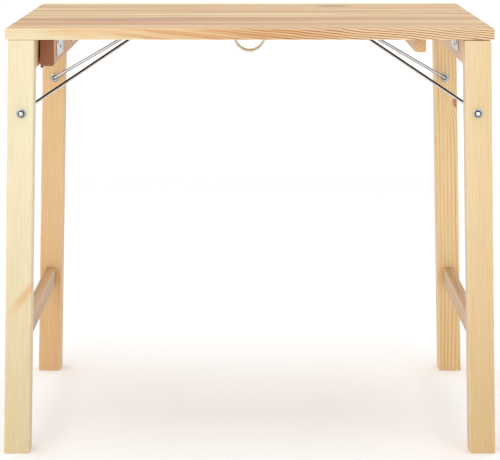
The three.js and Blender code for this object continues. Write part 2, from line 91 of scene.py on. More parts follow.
# wire stays; the crossbar is at APEX_X, and its ends turn at APEX_HALF
STAY_R = 2.75 * MM
STAY_U = 19.5 * MM
STAY_V = 122 * MM
STAY_HOLE_R = 3.4 * MM
STAY_BEND_R = 7.5 * MM
STAY_BEND_IN = 4.5 * MM
AXLE_PROUD = 3.5 * MM
APEX_X = 206.8 * MM
APEX_DROP = 16 * MM
APEX_HALF = 97.7 * MM
CAP_R = 5.8 * MM
CAP_PROUD = 1.6 * MM
WASHER_GAP = 0.05 * MM

# strap and lock bar; the visual tape is thicker than the frame's
STRAP_WIDE = 30 * MM
STRAP_THICK = 2 * MM
STRAP_HALF = 30 * MM
STRAP_TAB = 47 * MM
STRAP_LOW = 46 * MM
TAPE_THICK = 3.4 * MM
BAR_LOW = UNDER - 4.5 * MM
TAB_TOP = BAR_LOW - 0.3 * MM
COIL_R = 4.6 * MM
COIL_WIRE_R = 0.5 * MM

# hinges; a _REACH goes from the axis to a leaf's far edge, and its screws are spread over _SCREWS
FIT = 0.3 * MM
LEAF_THICK = 1.5 * MM
LEAF_LONG = 104 * MM
HINGE_Y = 142 * MM
HINGE_AXIS = {"left": (-351 * MM, 648 * MM), "right": (348.6 * MM, 698.5 * MM)}
SPACER_DEEP = 50 * MM
FIXED_REACH = {"left": 21.5 * MM, "right": 22 * MM}
FIXED_SCREWS = {"left": 16.5 * MM, "right": 17 * MM}
MOVING_REACH = 25 * MM
MOVING_SCREWS = 18 * MM
KNUCKLE_R = 3 * MM
KNUCKLE_GAP = 0.4 * MM
KNUCKLE_OVERLAP = 1 * MM
BORE_R = 1.7 * MM
PIN_R = 1.5 * MM
PIN_PROUD = 0.8 * MM
PIN_CHAMFER = 0.4 * MM
SCREW_PITCH = 38 * MM
SCREW_EDGE = 1.5 * MM
PLATE_ROUND = 0.4 * MM

# angle plates on the spacer's inner face
SPACER_INNER_X = -326 * MM
PLATE_DROP = 38 * MM
PLATE_WIDE = 24 * MM
PLATE_SCREWS = 31.2 * MM
PLATE_SCREWS_FROM = 3.4 * MM


# ---- materials ----
def srgb(red, green, blue):
    """Linear colour of an 8-bit sRGB one."""
    def linear(value):
        value /= 255
        return value / 12.92 if value <= 0.04045 else ((value + 0.055) / 1.055) ** 2.4
    return (linear(red), linear(green), linear(blue), 1.0)


class Shader:
    """A material with a Principled shader, and short calls for the nodes that feed it."""

    def __init__(self, name, **uniform):
        self.material = bpy.data.materials.new(name)
        self.material.use_nodes = True
        self.tree = self.material.node_tree
        self.tree.nodes.clear()
        output = self.tree.nodes.new("ShaderNodeOutputMaterial")
        self.bsdf = self.tree.nodes.new("ShaderNodeBsdfPrincipled")
        self.tree.links.new(self.bsdf.outputs[0], output.inputs[0])
        for socket, value in uniform.items():
            self.bsdf.inputs[socket.replace("_", " ")].default_value = value

    def node(self, kind, values=None, **settings):
        made = self.tree.nodes.new("ShaderNode" + kind)
        for key, value in settings.items():
            setattr(made, key, value)
        for key, value in (values or {}).items():
            self.feed(made.inputs[key], value)
        return made

    def feed(self, socket, value):
        if isinstance(value, bpy.types.NodeSocket):
            self.tree.links.new(value, socket)
        else:
            socket.default_value = value

    def surface(self, socket, value):
        self.feed(self.bsdf.inputs[socket], value)

    def math(self, operation, first, second=0.0, third=0.0, clamp=False):
        made = self.node("Math", {0: first, 1: second, 2: third}, operation=operation, use_clamp=clamp)
        return made.outputs[0]

    def length(self, first, second):
        squares = self.math("MULTIPLY", first, first), self.math("MULTIPLY", second, second)
        return self.math("SQRT", self.math("ADD", *squares))

    def vector(self, operation, first, second=(0, 0, 0)):
        made = self.node("VectorMath", {0: first, 1: second}, operation=operation)
        return made.outputs["Value" if operation in ("LENGTH", "DOT_PRODUCT") else 0]

    def split(self, vector):
        return self.node("SeparateXYZ", {0: vector}).outputs

    def noise(self, vector, scale, detail=2.0, roughness=0.5):
        """Noise from 0 to 1, with its scale given for each axis."""
        spread = self.vector("MULTIPLY", vector, scale)
        made = self.node("TexNoise", {"Vector": spread, "Scale": 1.0, "Detail": detail,
                                      "Roughness": roughness})
        return made.outputs["Fac"]

    def step(self, value, low, high):
        """Smooth step from 0 at low to 1 at high; high may be the smaller."""
        made = self.node("MapRange", {"Value": value, "From Min": low, "From Max": high},
                         interpolation_type="SMOOTHSTEP")
        return made.outputs[0]

    def ramp(self, value, stops):
        """Grey ramp through (position, value) stops."""
        made = self.node("ValToRGB", {0: value})
        elements = made.color_ramp.elements
        while len(elements) < len(stops):
            elements.new(0.5)
        for element, (position, level) in zip(elements, stops):
            element.position = position
            element.color = (level, level, level, 1)
        return made.outputs[0]

    def mix(self, share, first, second, blend="MIX"):
        made = self.node("Mix", data_type="RGBA", blend_type=blend)
        self.feed(made.inputs[0], share)
        self.feed(made.inputs[6], first)
        self.feed(made.inputs[7], second)
        return made.outputs[2]

    def bump(self, height, strength, distance):
        made = self.node("Bump", {"Height": height, "Strength": strength, "Distance": distance})
        self.surface("Normal", made.outputs[0])


def wood_coordinates(shader, origin, along, across):
    """Coordinates in the board: x with the grain, y and z across it. Also how much a surface is end grain."""
    along, across = Vector(along).normalized(), Vector(across)
    across = (across - along * across.dot(along)).normalized()
    turn = Matrix((along, across, along.cross(across))).transposed().to_euler("XYZ")
    seen = shader.node("TexCoord")
    placed = shader.node("Mapping", {"Vector": seen.outputs["Object"]}, vector_type="TEXTURE")
    placed.inputs["Location"].default_value = origin
    placed.inputs["Rotation"].default_value = turn
    facing = shader.math("ABSOLUTE", shader.vector("DOT_PRODUCT", seen.outputs["Normal"], tuple(along)))
    return placed.outputs[0], shader.step(facing, 0.6, 0.95)


def finish_wood(shader, local, colour, late, end_grain, end_tint, bump=0.5):
    """Fibres, pores, end grain, worn edges, roughness and bump that every board has."""
    fibre = shader.noise(local, (14, 700, 700), 3.0, 0.6)
    dulled = shader.mix(1.0, colour, (0.9, 0.87, 0.82, 1), "MULTIPLY")
    colour = shader.mix(shader.step(fibre, 0.3, 0.75), dulled, colour)
    pores = shader.step(shader.noise(local, (60, 1500, 1500), 1.0), 0.66, 0.78)
    colour = shader.mix(shader.math("MULTIPLY", pores, 0.3), colour, srgb(176, 128, 84))
    colour = shader.mix(shader.math("MULTIPLY", end_grain, 0.9), colour,
                        shader.mix(1.0, colour, end_tint, "MULTIPLY"))
    edge = shader.node("Attribute", attribute_name="edge").outputs["Fac"]
    scuffs = shader.step(shader.noise(local, (40, 160, 160), 2.0), 0.35, 0.7)
    worn = shader.math("MULTIPLY", edge, shader.math("MULTIPLY_ADD", scuffs, 0.35, 0.12))
    colour = shader.mix(worn, colour, srgb(250, 232, 200))
    shader.surface("Base Color", colour)
    rough = shader.math("MULTIPLY_ADD", fibre, 0.18, 0.4)
    rough = shader.math("MULTIPLY_ADD", late, -0.07, rough)
    shader.surface("Roughness", shader.math("MULTIPLY_ADD", edge, -0.06, rough))
    height = shader.math("MULTIPLY_ADD", late, 0.5, shader.math("MULTIPLY", fibre, 0.6))
    shader.bump(shader.math("MULTIPLY_ADD", pores, -0.5, height), bump, 0.12 * MM)
    return shader.material


def ring_lines(shader, local, pith, spacing, wander):
    """Distance from the pith, at (y, z) in the board, and a function of it that draws the growth rings.

    The function gives 0 in pale early wood and 1 in dark late wood.
    """
    slow = shader.math("SUBTRACT", shader.noise(local, (2.6, 14, 14), 1.0), 0.5)
    quick = shader.math("SUBTRACT", shader.noise(local, (16, 70, 70), 2.0), 0.5)
    _, y, z = shader.split(local)
    y = shader.math("MULTIPLY_ADD", slow, wander * 2.5, shader.math("SUBTRACT", y, pith[0]))
    z = shader.math("MULTIPLY_ADD", quick, wander * 0.5, shader.math("SUBTRACT", z, pith[1]))
    radius = shader.length(y, z)
    return radius, lambda r: shader.ramp(
        shader.math("FRACT", shader.math("DIVIDE", r, spacing)),
        [(0.0, 0.1), (0.35, 0.0), (0.72, 0.55), (0.86, 1.0), (0.97, 0.75), (1.0, 0.1)])


def pine(name, origin, along, across, early, late, blush, pith, contrast, spacing=3.2 * MM, wander=3 * MM,
         knots=(), end_tint=(0.72, 0.6, 0.5, 1), painted_shade_from=None, spike=None):
    """Straight-grained pine board of early and late wood with patches of blush.

    knots are (along, y, z, radius) in the board's coordinates. From painted_shade_from along the board to a
    leg's length, painted shade slowly turns the wood a warmer, deeper tone, darker towards the floor where
    the light falls off. spike is a knot cut lengthwise: (along, y) of both its ends and its half width.
    """
    shader = Shader(name, Specular_IOR_Level=0.35, Coat_Weight=0.08, Coat_Roughness=0.35)
    local, end_grain = wood_coordinates(shader, origin, along, across)
    radius, profile = ring_lines(shader, local, pith, spacing, wander)
    heart = None
    for at_along, at_y, at_z, size in knots:
        away = shader.vector("SUBTRACT", local, (at_along, at_y, at_z))
        distance = shader.vector("LENGTH", shader.vector("MULTIPLY", away, (0.55, 1, 1)))
        swell = shader.math("POWER", shader.step(distance, size * 5.5, 0.0), 2.0)
        radius = shader.math("MULTIPLY_ADD", swell, size * 1.6, radius)
        core = shader.step(distance, size * 1.15, size * 0.7)
        heart = core if heart is None else shader.math("MAXIMUM", heart, core)
    streak = None
    if spike is not None:
        (along0, y0), (along1, y1), half_width = spike
        run = Vector((along1 - along0, y1 - y0, 0))
        from_end = shader.vector("SUBTRACT", local, (along0, y0, 0))
        length_on = shader.vector("DOT_PRODUCT", from_end, tuple(run.normalized()))
        aside = shader.vector("DOT_PRODUCT", from_end, (-run.normalized().y, run.normalized().x, 0))
        inside = shader.step(shader.math("ABSOLUTE", aside), half_width, half_width * 0.1)
        along_it = shader.math("MULTIPLY", shader.step(length_on, -half_width, half_width),
                               shader.step(length_on, run.length, run.length * 0.3))
        streak = shader.math("MULTIPLY", inside, along_it)
        radius = shader.math("MULTIPLY_ADD", streak, 7 * MM, radius)
    lines = profile(radius)
    patch = shader.step(shader.noise(local, (3, 30, 30), 2.0), 0.3, 0.7)
    depth = shader.math("MULTIPLY_ADD", patch, contrast * 0.6, contrast * 0.5)
    colour = shader.mix(shader.math("MULTIPLY", lines, depth), early, late)
    tone = shader.step(shader.noise(local, (1.8, 22, 22), 1.0), 0.35, 0.68)
    colour = shader.mix(shader.math("MULTIPLY", tone, 0.4), colour, blush)
    if painted_shade_from is not None:
        # painted shade: the leg turns darker and warmer towards its foot, where the light falls off
        share = shader.math("MULTIPLY", shader.step(shader.split(local)[0], painted_shade_from, 0.72), 0.9)
        colour = shader.mix(share, colour, shader.mix(1.0, colour, (0.84, 0.76, 0.66, 1), "MULTIPLY"))
    if heart is not None:
        colour = shader.mix(shader.math("MULTIPLY", heart, 0.85), colour, srgb(192, 108, 60))
    if streak is not None:
        colour = shader.mix(shader.math("MULTIPLY", streak, 0.75), colour, srgb(222, 176, 116))
    return finish_wood(shader, local, colour, lines, end_grain, end_tint)


def stave_panel(name):
    """The glued panel of the top: staves along X, each with its own tone and rings, the front one figured."""
    shader = Shader(name, Specular_IOR_Level=0.35, Coat_Weight=0.1, Coat_Roughness=0.3)
    local, end_grain = wood_coordinates(shader, (0, -0.3, UNDER), (1, 0, 0), (0, 1, 0))
    x, y, z = shader.split(local)
    place = shader.math("DIVIDE", y, STAVE)
    index = shader.math("FLOOR", place)
    chance = shader.node("TexWhiteNoise", {"W": shader.math("ADD", index, 4.3)}, noise_dimensions="1D")
    luck = shader.split(chance.outputs["Color"])
    shifted = shader.node("CombineXYZ", {
        0: shader.math("MULTIPLY_ADD", luck[0], 3.0, x),
        1: shader.math("MULTIPLY_ADD", luck[1], 0.7, y),
        2: shader.math("MULTIPLY_ADD", luck[2], 0.5, z)}).outputs[0]

    # rings of each stave, about a pith that lies below it and drifts sideways along its length
    slow = shader.math("SUBTRACT", shader.noise(shifted, (1.7, 9, 9), 1.0), 0.5)
    quick = shader.math("SUBTRACT", shader.noise(shifted, (9, 60, 60), 2.0), 0.5)
    across = shader.math("SUBTRACT", shader.math("MULTIPLY", shader.math("FRACT", place), STAVE),
                         shader.math("MULTIPLY", luck[0], STAVE))
    across = shader.math("MULTIPLY_ADD", slow, 34 * MM, across)
    rise = shader.math("ADD", shader.math("MULTIPLY_ADD", luck[1], 0.05, 0.012), z)
    rise = shader.math("MULTIPLY_ADD", quick, 2.5 * MM, rise)
    radius = shader.length(across, rise)

    # the front stave's rings lie almost flat and fall towards the right, so its edge shows slanting lines
    front = shader.step(place, 1.0, 0.98)
    near_edge = shader.step(y, 14 * MM, 3 * MM)
    swell = shader.math("SUBTRACT", shader.noise(local, (2.1, 7, 7), 1.0), 0.5)
    wave = shader.math("SUBTRACT", shader.noise(local, (9, 26, 26), 1.5), 0.5)
    flat = shader.math("MULTIPLY_ADD", shader.math("MULTIPLY", x, near_edge), 0.105, z)
    flat = shader.math("MULTIPLY_ADD", y, 0.6, flat)
    flat = shader.math("MULTIPLY_ADD", swell, 16 * MM, shader.math("ADD", flat, 1.0))
    flat = shader.math("MULTIPLY_ADD", wave, 8 * MM, flat)
    radius = shader.mix(front, radius, flat)
    lines = shader.ramp(shader.math("FRACT", shader.math("DIVIDE", radius, 4.1 * MM)),
                        [(0.0, 0.05), (0.4, 0.0), (0.62, 0.6), (0.74, 1.0), (0.95, 0.9), (1.0, 0.05)])
    figured = shader.step(shader.math("MULTIPLY_ADD", wave, 0.25, x), -0.2, 0.1)
    front_strength = shader.math("MULTIPLY_ADD", figured, 0.95, 0.05)
    strength = shader.math("MULTIPLY", lines, shader.mix(front, (0.42, 0.42, 0.42, 1), front_strength))

    # tones: each stave leans to pink, tan or pale yellow, with long streaks in it
    base = shader.mix(shader.step(luck[0], 0.25, 0.7), srgb(220, 176, 118), srgb(226, 190, 122))
    yellow = shader.math("MULTIPLY", shader.step(luck[2], 0.6, 0.85), 0.7)
    base = shader.mix(yellow, base, srgb(227, 200, 145))
    streak = shader.step(shader.noise(shifted, (0.9, 22, 22), 2.0, 0.6), 0.46, 0.58)
    base = shader.mix(shader.math("MULTIPLY", streak, 0.9), base, srgb(202, 144, 86))
    pale = shader.step(shader.noise(shader.vector("ADD", shifted, (7, 3, 1)), (0.7, 17, 17), 1.0), 0.52, 0.6)
    base = shader.mix(shader.math("MULTIPLY", pale, 0.85), base, srgb(240, 214, 148))
    thread = shader.step(shader.noise(shifted, (1.2, 62, 62), 1.0), 0.56, 0.63)
    base = shader.mix(shader.math("MULTIPLY", thread, 0.75), base, srgb(158, 100, 56))

    # the front edge: pale at the left, warm and banded in the middle, paler again at the right
    leaning = shader.math("MULTIPLY_ADD", wave, 0.5, shader.math("MULTIPLY_ADD", z, 9.0, x))
    warm = shader.step(leaning, -0.34, 0.02)
    front_base = shader.mix(warm, srgb(254, 246, 206), srgb(246, 210, 156))
    front_base = shader.mix(shader.step(x, 0.02, 0.3), front_base, srgb(255, 238, 194))
    broad = shader.ramp(shader.math("FRACT", shader.math("DIVIDE", flat, 11 * MM)),
                        [(0.0, 0.0), (0.25, 0.0), (0.5, 1.0), (0.7, 1.0), (0.95, 0.0), (1.0, 0.0)])
    here = shader.math("MULTIPLY", shader.step(x, -0.27, -0.16), shader.step(x, 0.2, 0.0))
    broad = shader.math("MULTIPLY", broad, shader.math("MULTIPLY", here, 0.62))
    front_base = shader.mix(broad, front_base, srgb(222, 158, 100))
    front_edge = shader.math("MULTIPLY", front, shader.step(y, 6 * MM, 1 * MM))
    base = shader.mix(front_edge, base, front_base)
    late = shader.mix(front_edge, srgb(170, 112, 68), srgb(166, 94, 42))
    colour = shader.mix(strength, base, late)

    # one knot near the rear
    away = shader.vector("MULTIPLY", shader.vector("SUBTRACT", local, (0.156, 0.53, 18 * MM)), (0.5, 1, 1))
    spot = shader.step(shader.vector("LENGTH", away), 24 * MM, 5 * MM)
    colour = shader.mix(shader.math("MULTIPLY", spot, 0.85), colour, srgb(146, 84, 50))

    # glue lines between the staves
    off_middle = shader.math("ABSOLUTE", shader.math("SUBTRACT", shader.math("FRACT", place), 0.5))
    glue = shader.step(off_middle, 0.492, 0.499)
    colour = shader.mix(shader.math("MULTIPLY", glue, 0.3), colour, srgb(168, 116, 76))
    return finish_wood(shader, local, colour, lines, end_grain, (0.8, 0.7, 0.6, 1), 0.35)


def metal(name, light, dark, roughness):
    """Bright or plated steel with faint handling marks, duller patches and brighter edges."""
    shader = Shader(name, Metallic=1.0)
    place = shader.node("TexCoord").outputs["Object"]
    patches = shader.noise(place, (55, 55, 55), 3.0, 0.6)
    marks = shader.noise(place, (260, 260, 260), 2.0, 0.7)
    edge = shader.node("Attribute", attribute_name="edge").outputs["Fac"]
    colour = shader.mix(shader.step(patches, 0.3, 0.7), light, dark)
    colour = shader.mix(shader.math("MULTIPLY", edge, 0.5), colour, light)
    shader.surface("Base Color", colour)
    rough = shader.math("MULTIPLY_ADD", patches, 0.16, roughness)
    shader.surface("Roughness", shader.math("MULTIPLY_ADD", marks, 0.1, rough))
    shader.bump(marks, 0.15, 0.05 * MM)
    return shader.material


def drawn_wire(name, bright, painted_reflection_and_marks):
    """Bright wire with painted reflections: its upper side is coloured darker for the mirrored wood above,
    and its lowest line darker too.
    """
    shader = Shader(name, Metallic=1.0)
    seen = shader.node("TexCoord")
    lift = shader.split(seen.outputs["Normal"])[2]
    # painted reflection: the upper side and the lowest line of the wire are coloured darker
    above = shader.step(lift, 0.12, 0.42)
    below = shader.step(lift, -0.55, -0.75)
    marks = shader.noise(seen.outputs["Object"], (60, 60, 60), 2.0, 0.6)
    colour = shader.mix(shader.math("MAXIMUM", above, shader.math("MULTIPLY", below, 0.8)), bright, painted_reflection_and_marks)
    colour = shader.mix(shader.math("MULTIPLY", shader.step(marks, 0.4, 0.8), 0.2), colour, painted_reflection_and_marks)
    shader.surface("Base Color", colour)
    shader.surface("Roughness", shader.math("MULTIPLY_ADD", marks, 0.12, 0.16))
    shader.bump(marks, 0.05, 0.05 * MM)
    return shader.material


def capped(name, bright, rim):
    """Polished dome with a painted reflection: its rim is coloured darker, standing in for dark surroundings
    mirrored at a grazing angle.
    """
    shader = Shader(name, Metallic=1.0)
    place = shader.node("TexCoord").outputs["Object"]
    marks = shader.noise(place, (160, 160, 160), 2.0, 0.6)
    # painted reflection: the rim is coloured darker than the middle
    outer = shader.node("Attribute", attribute_name="edge").outputs["Fac"]
    shader.surface("Base Color", shader.mix(outer, bright, rim))
    shader.surface("Roughness", shader.math("MULTIPLY_ADD", marks, 0.12, 0.12))
    shader.bump(marks, 0.08, 0.05 * MM)
    return shader.material


def webbing(name):
    """Woven cotton tape: ribs and a herringbone of yarns. UV holds metres along and across the tape."""
    rib, yarn = 1.5 * MM, 1.9 * MM
    shader = Shader(name, Specular_IOR_Level=0.2, Sheen_Weight=0.25, Sheen_Roughness=0.6)
    place = shader.node("TexCoord").outputs["UV"]
    u, v, _ = shader.split(place)
    warp = shader.math("SINE", shader.math("MULTIPLY", v, 2 * math.pi / rib))
    slant = shader.math("ADD", u, shader.math("MULTIPLY", shader.math("ABSOLUTE", v), 0.8))
    weft = shader.math("SINE", shader.math("MULTIPLY", slant, 2 * math.pi / yarn))
    weave = shader.math("MULTIPLY_ADD", shader.math("MULTIPLY", warp, weft), 0.35,
                        shader.math("MULTIPLY_ADD", warp, 0.15, 0.5))
    dirt = shader.noise(place, (60, 60, 60), 3.0, 0.6)
    colour = shader.mix(weave, srgb(222, 220, 208), srgb(246, 246, 240))
    stain = shader.math("MULTIPLY", shader.step(dirt, 0.45, 0.75), 0.3)
    colour = shader.mix(stain, colour, srgb(206, 198, 172))
    shader.surface("Base Color", colour)
    shader.surface("Roughness", shader.math("MULTIPLY_ADD", dirt, 0.15, 0.78))
    shader.bump(weave, 0.4, 0.3 * MM)
    return shader.material


# ---- shapes ----
def mark_edges(shape, extents, tolerance=1e-6):
    """Writes 1 in the edge attribute on the rounded edges of a block, before it is placed."""
    layer = shape.verts.layers.float.new("edge")
    for vert in shape.verts:
        flat = any(abs(abs(vert.co[i]) - extents[i]) < tolerance for i in range(3))
        vert[layer] = 0.0 if flat else 1.0


def rounded_block(size, radius, segments=3):
    """Block about the origin with all its edges rounded."""
    shape = bmesh.new()
    bmesh.ops.create_cube(shape, size=1.0)
    bmesh.ops.scale(shape, vec=size, verts=shape.verts)
    bmesh.ops.bevel(shape, geom=shape.edges[:], offset=radius, segments=segments, profile=0.5, affect="EDGES")
    mark_edges(shape, [value / 2 for value in size])
    return shape


def put(name, shape, body, material, slot, stands_for=(), smooth=True, weighted=False):
    """Makes the piece from a bmesh, gives it its finish and lets it ride on its body."""
    bmesh.ops.recalc_face_normals(shape, faces=shape.faces[:])
    mesh = bpy.data.meshes.new(name)
    shape.to_mesh(mesh)
    shape.free()
    for polygon in mesh.polygons:
        polygon.use_smooth = smooth
    mesh.materials.append(material)
    piece = bpy.data.objects.new(name, mesh)
    bpy.context.scene.collection.objects.link(piece)
    if weighted:
        weigh_normals(piece)
    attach(piece, body)
    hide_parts(*stands_for)
    return piece


def weigh_normals(piece):
    modifier = piece.modifiers.new("even shading", "WEIGHTED_NORMAL")
    modifier.keep_sharp = True


def cut(piece, cutters):
    """Cuts bmesh shapes out of a piece, for good."""
    for shape in cutters:
        bmesh.ops.recalc_face_normals(shape, faces=shape.faces[:])
        mesh = bpy.data.meshes.new("cutter")
        shape.to_mesh(mesh)
        shape.free()
        cutter = bpy.data.objects.new("cutter", mesh)
        bpy.context.scene.collection.objects.link(cutter)
        modifier = piece.modifiers.new("cut", "BOOLEAN")
        modifier.operation = "DIFFERENCE"
        modifier.solver = "EXACT"
        modifier.object = cutter
        with bpy.context.temp_override(object=piece, active_object=piece):
            bpy.ops.object.modifier_apply(modifier=modifier.name)
        bpy.data.objects.remove(cutter)


def map_shape(shape, place):
    """Moves each vertex of a block by place(x, y, z)."""
    for vert in shape.verts:
        vert.co = place(*vert.co)
    return shape


def block(lo, hi, radius, place, segments=3):
    """Rounded block between two corners of a piece's own coordinates, put in place."""
    lo, hi = Vector(lo), Vector(hi)
    shape = rounded_block(hi - lo, radius, segments)
    middle = (lo + hi) / 2
    return map_shape(shape, lambda x, y, z: place(x + middle.x, y + middle.y, z + middle.z))


def rounded_outline(corners, radii, steps=5):
    """Closed outline with each corner rounded by its own radius, as (point, whether it lies on an arc)."""
    corners = [Vector(corner) for corner in corners]
    outline = []
    for i, corner in enumerate(corners):
        back = (corners[i - 1] - corner).normalized() * radii[i]
        ahead = (corners[(i + 1) % len(corners)] - corner).normalized() * radii[i]
        centre = corner + back + ahead
        for k in range(steps + 1):
            turn = math.pi / 2 * k / steps
            outline.append((centre - ahead * math.cos(turn) - back * math.sin(turn), 0 < k < steps))
    return outline


def rounded_prism(outline, y0, y1, radius):
    """Prism along Y from an outline in X and Z, with its two end faces' edges rounded."""
    middle = sum((point for point, _ in outline), Vector((0, 0))) / len(outline)
    reach = min(max(abs(point[i] - middle[i]) for point, _ in outline) for i in range(2))
    shrink = 1 - radius / reach
    rings = []
    for y, share in ((y0, shrink), (y0 + radius * 0.3, (shrink + 2) / 3), (y0 + radius, 1.0),
                     (y1 - radius, 1.0), (y1 - radius * 0.3, (shrink + 2) / 3), (y1, shrink)):
        placed = [middle + (point - middle) * share for point, _ in outline]
        rings.append([Vector((point.x, y, point.y)) for point in placed])
    shape = rings_to_shape(rings)
    layer = shape.verts.layers.float["edge"]
    shape.verts.ensure_lookup_table()
    for i, vert in enumerate(shape.verts):
        on_end = i < len(outline) or i >= len(shape.verts) - len(outline)
        vert[layer] = 1.0 if outline[i % len(outline)][1] and not on_end else 0.0
    return shape


def add_shape(shape, other):
    """Adds another bmesh's faces to a shape."""
    mesh = bpy.data.meshes.new("part")
    other.to_mesh(mesh)
    other.free()
    shape.from_mesh(mesh)
    bpy.data.meshes.remove(mesh)
    return shape


def rings_to_shape(rings, closed_ends=True):
    """Skin through rings of points."""
    shape = bmesh.new()
    layer = shape.verts.layers.float.new("edge")
    made = [[shape.verts.new(point) for point in ring] for ring in rings]
    for vert in shape.verts:
        vert[layer] = 0.0
    count = len(rings[0])
    for first, second in zip(made, made[1:]):
        for i in range(count):
            shape.faces.new((first[i], first[(i + 1) % count], second[(i + 1) % count], second[i]))
    if closed_ends:
        shape.faces.new(made[0][::-1])
        shape.faces.new(made[-1])
    return shape


def tube(points, radius, sides=16):
    """Round wire along a path."""
    points = [Vector(point) for point in points]
    rings = []
    side = None
    for i, point in enumerate(points):
        ahead = (points[min(i + 1, len(points) - 1)] - points[max(i - 1, 0)]).normalized()
        if side is None:
            side = ahead.orthogonal().normalized()
        side = (side - ahead * side.dot(ahead)).normalized()
        other = ahead.cross(side)
        turns = [2 * math.pi * k / sides for k in range(sides)]
        rings.append([point + (side * math.cos(a) + other * math.sin(a)) * radius for a in turns])
    return rings_to_shape(rings)


def lathe(profile, origin, direction, sides=32, closed=False):
    """Turned shape of (radius, height) pairs about an axis. closed joins the last pair to the first."""
    origin, direction = Vector(origin), Vector(direction).normalized()
    side = direction.orthogonal().normalized()
    other = direction.cross(side)
    turns = [2 * math.pi * k / sides for k in range(sides)]
    pairs = list(profile) + ([profile[0]] if closed else [])
    rings = [[origin + direction * height + (side * math.cos(a) + other * math.sin(a)) * max(radius, 1e-6)
              for a in turns] for radius, height in pairs]
    shape = rings_to_shape(rings, closed_ends=not closed)
    if closed:
        bmesh.ops.remove_doubles(shape, verts=shape.verts[:], dist=1e-7)
    return shape


def fillet(points, radius, steps=8):
    """Path with its inner corners rounded."""
    points = [Vector(point) for point in points]
    path = [points[0]]
    for before, corner, after in zip(points, points[1:], points[2:]):
        back, ahead = (before - corner).normalized(), (after - corner).normalized()
        half = back.angle(ahead) / 2
        reach = radius / math.tan(half)
        centre = corner + (back + ahead).normalized() * (radius / math.sin(half))
        start, end = corner + back * reach, corner + ahead * reach
        first, last = start - centre, end - centre
        sweep = first.angle(last)
        for i in range(steps + 1):
            share = i / steps
            path.append(centre + (first * math.sin((1 - share) * sweep) + last * math.sin(share * sweep))
                        / math.sin(sweep))
    path.append(points[-1])
    return path


# ---- coordinates; in a leg frame, u goes outward from the legs' inner face and v down the leg ----
def straight(x, y, z):
    return Vector((x, y, z))


def frame_point(side, u, v, y):
    x = LEG_INNER + u * math.cos(SPLAY) + v * math.sin(SPLAY)
    return Vector((side * x, y, UNDER + u * math.sin(SPLAY) - v * math.cos(SPLAY)))


def leg_point(side, u, y, z):
    return Vector((side * (LEG_INNER + u / math.cos(SPLAY) + (UNDER - z) * math.tan(SPLAY)), y, z))


def down_leg(side):
    return Vector((side * math.sin(SPLAY), 0, -math.cos(SPLAY)))


# ---- finishes ----
TOP_FINISH = stave_panel("top_pine")
ZINC = metal("zinc_steel", srgb(226, 228, 230), srgb(196, 198, 202), 0.22)
WASHER_STEEL = metal("washer_steel", srgb(186, 191, 188), srgb(146, 151, 150), 0.2)
# CHROME's dull colour is a painted reflection on the wire's upper side and lowest line, and also its handling
# marks
CHROME = drawn_wire("chrome_wire", srgb(226, 227, 229), srgb(64, 64, 68))
# CAP_STEEL's rim colour is a painted dark reflection
CAP_STEEL = capped("cap_steel", srgb(222, 227, 228), srgb(70, 76, 80))
DARK_STEEL = metal("dark_steel", srgb(110, 110, 114), srgb(70, 70, 74), 0.3)
# screw heads coloured dark: painted shade for their recesses and counterbores
SCREW_STEEL_PAINTED_SHADE = metal("screw_steel_painted_shade", srgb(92, 94, 98), srgb(56, 58, 62), 0.32)
TAPE = webbing("webbing")

LEG_LOOKS = {
    ("left", "front"): dict(
        early=srgb(237, 228, 196), late=srgb(214, 187, 138), blush=srgb(233, 218, 178), pith=(0.16, 0.02),
        contrast=0.5, wander=4 * MM, spike=((0.408, -4 * MM), (0.475, 44 * MM), 11 * MM)),
    ("right", "front"): dict(
        early=srgb(233, 211, 168), late=srgb(208, 158, 100), blush=srgb(226, 195, 147), pith=(0.085, -0.02),
        contrast=0.5, spacing=3.4 * MM, wander=11 * MM),
    ("left", "rear"): dict(
        early=srgb(240, 208, 162), late=srgb(202, 146, 90), blush=srgb(232, 194, 144), pith=(-0.14, -0.05),
        contrast=0.7, spacing=3.0 * MM, wander=2 * MM),
    ("right", "rear"): dict(
        early=srgb(244, 219, 170), late=srgb(184, 122, 66), blush=srgb(240, 206, 156), pith=(-0.088, 0.06),
        contrast=0.62, spacing=7.0 * MM, wander=5 * MM, knots=[(0.170, 40 * MM, 43 * MM, 6 * MM)]),
}
RAIL_LOOK = dict(early=srgb(240, 206, 164), late=srgb(204, 150, 104), blush=srgb(228, 184, 142),
                 pith=(0.02, 0.07), contrast=0.5)
STRETCHER_LOOK = dict(early=srgb(212, 176, 132), late=srgb(150, 104, 64), blush=srgb(190, 150, 106),
                      pith=(0.012, 0.045), contrast=0.75, spacing=3.6 * MM)


# ---- wooden pieces ----
def tenoned_rail(side, u0, u1, v0, v1, radius):
    """Rail between a frame's legs, with its tenons."""
    def place(u, y, v):
        return frame_point(side, u, v, y)
    shape = block((u0, -LEG_Y_IN, v0), (u1, LEG_Y_IN, v1), radius, place)
    middle = (u0 + u1) / 2
    long = LEG_Y_IN + TENON_LONG
    tenon = block((middle - TENON_THICK / 2, -long, v0 + TENON_INSET),
                  (middle + TENON_THICK / 2, long, v1 - TENON_INSET), 1 * MM, place)
    return add_shape(shape, tenon)


def mortise(side, end, u0, u1, v0, v1):
    """Cutter for the hole in a leg that takes a rail's tenon."""
    middle = (u0 + u1) / 2
    y0, y1 = sorted((end * (LEG_Y_IN - CUT_PAST), end * (LEG_Y_IN + TENON_LONG + 1 * MM)))
    return block((middle - TENON_THICK / 2 - TENON_PLAY, y0, v0 + TENON_INSET - TENON_PLAY),
                 (middle + TENON_THICK / 2 + TENON_PLAY, y1, v1 - TENON_INSET + TENON_PLAY), 0.8 * MM,
                 lambda u, y, v: frame_point(side, u, v, y))


